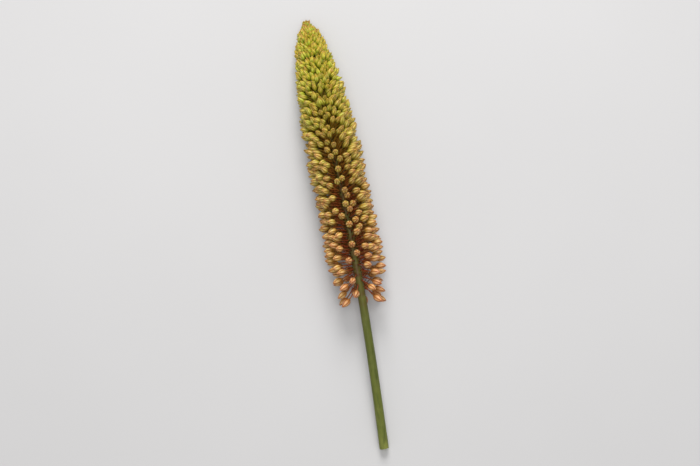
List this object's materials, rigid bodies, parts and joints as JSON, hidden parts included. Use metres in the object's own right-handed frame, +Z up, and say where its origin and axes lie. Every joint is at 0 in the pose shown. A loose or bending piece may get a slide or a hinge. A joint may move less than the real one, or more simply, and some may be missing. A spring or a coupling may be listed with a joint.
{
  "type": "foxtail lily flower spike",
  "caption": "Cut foxtail lily flower spike lying on its side: a bare round stem and a long tapering spike of pointed buds on thin stalks.",
  "frame": {"origin": "on the table, under the middle of the lying object's box", "axes": "+Y along the stem from its cut end to the tip of the spike, +Z up from the table, +X to the right of someone who looks along +Y"},
  "size_m": [0.0874, 0.6038, 0.0764],
  "materials": {
    "stem": "green plant stem, smooth with fine lengthwise ribs and a faint waxy bloom",
    "buds": "satin, waxy flower buds, peach and tan low on the spike and yellow-green towards its tip, on brown to green stalks"
  },
  "bodies": {
    "root": {"stem": "stem", "flower_spike": "buds"}
  },
  "joints": []
}
